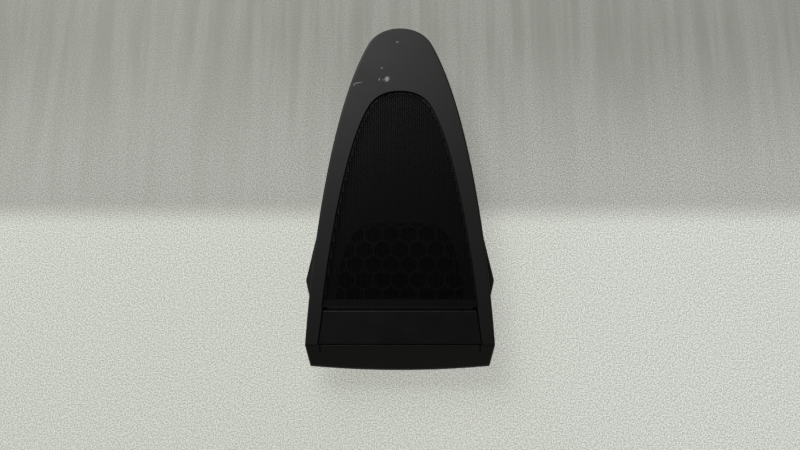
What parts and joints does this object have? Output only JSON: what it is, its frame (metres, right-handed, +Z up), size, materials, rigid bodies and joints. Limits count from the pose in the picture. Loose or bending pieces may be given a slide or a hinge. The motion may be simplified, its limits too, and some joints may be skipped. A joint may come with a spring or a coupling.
{
  "type": "dash-top centre tweeter unit",
  "caption": "Tongue-shaped dash-top centre tweeter unit: crowned bezel, perforated grille, blank lower cover, angled front lip and a carrier holding a soft-dome tweeter.",
  "frame": {"origin": "under the middle of the unit, on the plane that its four spring clips stand on", "axes": "+X to the right across the width, +Y lengthwise towards the rounded nose, +Z up out of the grille face"},
  "size_m": [0.1818, 0.348, 0.0419],
  "materials": {
    "soft_touch": "matt soft-touch paint with a fine grain and light scuffs",
    "grille_black": "satin black paint on perforated steel",
    "cover_black": "satin moulded plastic, slightly glossier than the bezel",
    "carrier_black": "matt moulded glass-filled plastic",
    "cloth_black": "thin black woven acoustic cloth",
    "felt": "pressed black felt",
    "foam_black": "closed-cell foam",
    "screw_black": "black zinc-plated steel",
    "sleeve_zinc": "zinc-plated steel tube",
    "spring_steel": "phosphated spring steel",
    "faceplate_black": "matt moulded plastic",
    "dome_silk": "coated woven silk",
    "surround_silk": "coated woven silk, pressed to a half roll",
    "former_foil": "thin aluminium foil",
    "coil_copper": "enamelled copper wire",
    "pole_steel": "turned low-carbon steel",
    "magnet_nickel": "nickel-plated neodymium magnet",
    "yoke_zinc": "zinc-plated pressed steel",
    "cup_black": "matt moulded plastic",
    "absorber_foam": "open-cell damping foam",
    "board_phenolic": "brown phenolic board",
    "tinned_brass": "tinned brass",
    "nylon_natural": "natural nylon",
    "capacitor_sleeve": "shrink sleeve",
    "lead_tinned": "tinned copper wire",
    "insulation_red": "flexible lead insulation",
    "insulation_black": "flexible lead insulation"
  },
  "bodies": {
    "housing": {"bezel": "soft_touch", "grille_mesh": "grille_black", "lower_cover": "cover_black", "cover_felt": "felt", "carrier": "carrier_black", "perimeter_seal": "foam_black", "carrier_screws": "screw_black", "fixing_sleeves": "sleeve_zinc", "spring_clips": "spring_steel", "tweeter_faceplate": "faceplate_black", "dust_cloth": "cloth_black", "tweeter_gasket": "foam_black", "tweeter_screws": "screw_black", "surround": "surround_silk", "lead_outs": "coil_copper", "diaphragm_frame": "faceplate_black", "damping_pad": "felt", "top_plate": "pole_steel", "magnet": "magnet_nickel", "yoke": "yoke_zinc", "rear_cup": "cup_black", "cup_absorber": "absorber_foam", "terminal_board": "board_phenolic", "terminals": "tinned_brass", "lead_receptacles": "nylon_natural", "capacitor": "capacitor_sleeve", "capacitor_leads": "lead_tinned", "capacitor_pad": "foam_black", "connector_socket": "nylon_natural", "connector_pins": "tinned_brass", "lead_positive": "insulation_red", "lead_negative": "insulation_black", "lead_clips": "nylon_natural"},
    "diaphragm": {"dome": "dome_silk", "coil_former": "former_foil", "voice_coil": "coil_copper"}
  },
  "joints": [
    {"name": "dome_travel", "type": "slide", "parent": "housing", "child": "diaphragm", "axis": [0, 0, 1], "range_m": [-0.0004, 0.0004], "stiffness_N_per_m": 12000, "deforming": ["surround", "lead_outs"]}
  ]
}
